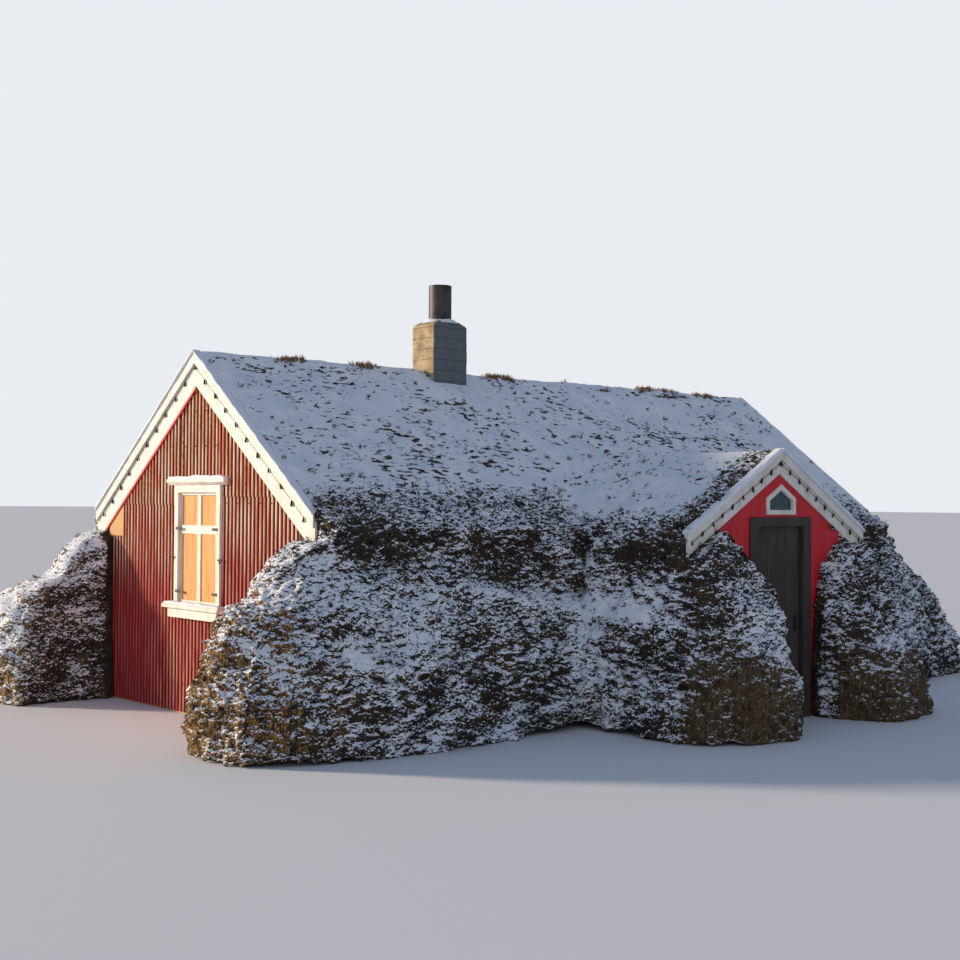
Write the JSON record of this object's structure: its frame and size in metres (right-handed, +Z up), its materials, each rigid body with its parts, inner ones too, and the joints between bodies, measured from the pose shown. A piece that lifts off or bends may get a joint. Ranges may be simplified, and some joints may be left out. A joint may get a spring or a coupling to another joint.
{
  "type": "turf house",
  "caption": "Turf-walled house with steep turf roof, red corrugated gable with boarded window, ridge chimney, and a turf porch with a red board front and a hinged plank door.",
  "frame": {"origin": "middle of the foot of the west gable's timber wall, at ground level", "axes": "+X along the ridge from the west gable to the east gable, +Y away from the porch, +Z up"},
  "size_m": [12.7432, 8.8604, 5.33],
  "materials": {
    "turf": "dark grass turf, dusted with snow",
    "red_iron": "faded red paint on corrugated iron, rust streaks",
    "white_paint": "weathered white paint on boards",
    "plywood": "bare orange plywood",
    "cable": "black cable with small bulbs",
    "concrete": "weathered board-marked concrete",
    "pipe": "dark sooty pipe",
    "red_boards": "bright red paint on upright boards",
    "dark_wood": "dark tarred wood",
    "iron": "black forged iron",
    "glass": "clear window glass",
    "bare_wood": "bare grey-brown wood"
  },
  "bodies": {
    "house": {"chimney_block": "concrete", "chimney_pipe": "pipe", "door_frame": "dark_wood", "door_hinge_pins": "iron", "east_bargeboards": "white_paint", "east_gable_cladding": "red_iron", "east_gable_wall": "bare_wood", "east_verge_boards": "white_paint", "east_window_casing": "white_paint", "east_window_panels": "plywood", "east_window_sash": "white_paint", "front_flank_east": "turf", "front_flank_west": "turf", "front_turf_wall_east": "turf", "front_turf_wall_west": "turf", "main_roof_boards_front": "bare_wood", "main_roof_boards_rear": "bare_wood", "main_roof_turf_front": "turf", "main_roof_turf_rear": "turf", "porch_bargeboards": "white_paint", "porch_flank_east": "turf", "porch_flank_west": "turf", "porch_light_string": "cable", "porch_roof_boards_east": "bare_wood", "porch_roof_boards_west": "bare_wood", "porch_roof_turf_east": "turf", "porch_roof_turf_west": "turf", "porch_turf_wall_east": "turf", "porch_turf_wall_west": "turf", "porch_verge_boards": "white_paint", "porch_wall_east": "red_boards", "porch_wall_over_door": "red_boards", "porch_wall_west": "red_boards", "porch_window_frame": "white_paint", "porch_window_glass": "glass", "rear_flank_east": "turf", "rear_flank_west": "turf", "rear_turf_wall": "turf", "west_bargeboards": "white_paint", "west_gable_cladding": "red_iron", "west_gable_wall": "bare_wood", "west_light_string": "cable", "west_verge_boards": "white_paint", "west_window_casing": "white_paint", "west_window_panels": "plywood", "west_window_sash": "white_paint"},
    "door": {"door": "dark_wood", "door_straps": "iron", "door_handle": "iron"}
  },
  "joints": [
    {"name": "door_hinge", "type": "hinge", "parent": "house", "child": "door", "pos_m": [4.518, -4.3467, 0], "axis": [0, 0, 1], "range_deg": [0, 90]}
  ]
}
